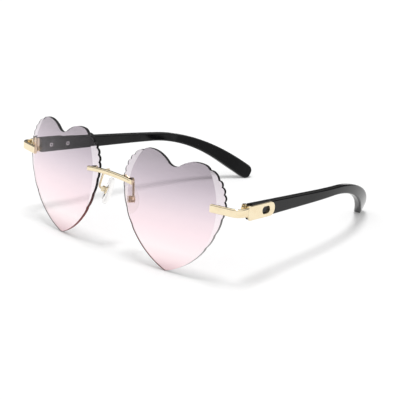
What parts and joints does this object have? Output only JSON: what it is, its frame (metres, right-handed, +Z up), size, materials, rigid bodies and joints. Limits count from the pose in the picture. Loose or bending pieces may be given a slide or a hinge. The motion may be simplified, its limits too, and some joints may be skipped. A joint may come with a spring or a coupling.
{
  "type": "heart shaped sunglasses",
  "caption": "Rimless sunglasses with heart shaped gradient lenses, scalloped bevelled edges, slim metal bridge, folding temples and rocking nose pads.",
  "frame": {"origin": "middle of the bottom of the box, on the surface that the lens tips and temple tips stand on", "axes": "+X to the wearer's left across the lenses, +Y from the lenses back along the temples, +Z up"},
  "size_m": [0.1506, 0.1294, 0.0531],
  "materials": {
    "lens": "polished, grey to pink gradient tint",
    "gold": "polished gold plate",
    "clear_plastic": "clear",
    "black": "polished",
    "soft_pad": "clear satin"
  },
  "bodies": {
    "front": {"bridge": "gold", "hinge_screws": "gold", "left_end_piece": "gold", "left_front_hinge": "gold", "left_lens": "lens", "left_pad_arm": "gold", "left_pad_box": "gold", "lens_bushes": "clear_plastic", "lens_nuts": "gold", "lens_washers": "clear_plastic", "pad_screws": "gold", "right_end_piece": "gold", "right_front_hinge": "gold", "right_lens": "lens", "right_pad_arm": "gold", "right_pad_box": "gold"},
    "left_temple": {"left_temple_arm": "black", "left_temple_cap": "gold", "left_temple_hinge": "gold", "left_temple_rivets": "gold"},
    "left_pad": {"left_nose_pad": "soft_pad", "left_pad_core": "gold"},
    "right_temple": {"right_temple_arm": "black", "right_temple_cap": "gold", "right_temple_hinge": "gold", "right_temple_rivets": "gold"},
    "right_pad": {"right_nose_pad": "soft_pad", "right_pad_core": "gold"}
  },
  "joints": [
    {"name": "left_fold", "type": "hinge", "parent": "front", "child": "left_temple", "pos_m": [0.07134, -0.04862, 0.03066], "axis": [0, 0.0929, 0.9957], "range_deg": [0, 76]},
    {"name": "right_fold", "type": "hinge", "parent": "front", "child": "right_temple", "pos_m": [-0.07134, -0.04862, 0.03066], "axis": [0, -0.0929, -0.9957], "range_deg": [0, 69]},
    {"name": "left_pad_rock", "type": "hinge", "parent": "front", "child": "left_pad", "pos_m": [0.00948, -0.05921, 0.02617], "axis": [0.5, 0.8623, -0.0804], "range_deg": [-10, 10]},
    {"name": "right_pad_rock", "type": "hinge", "parent": "front", "child": "right_pad", "pos_m": [-0.00948, -0.05921, 0.02617], "axis": [-0.5, 0.8623, -0.0804], "range_deg": [-10, 10]}
  ]
}
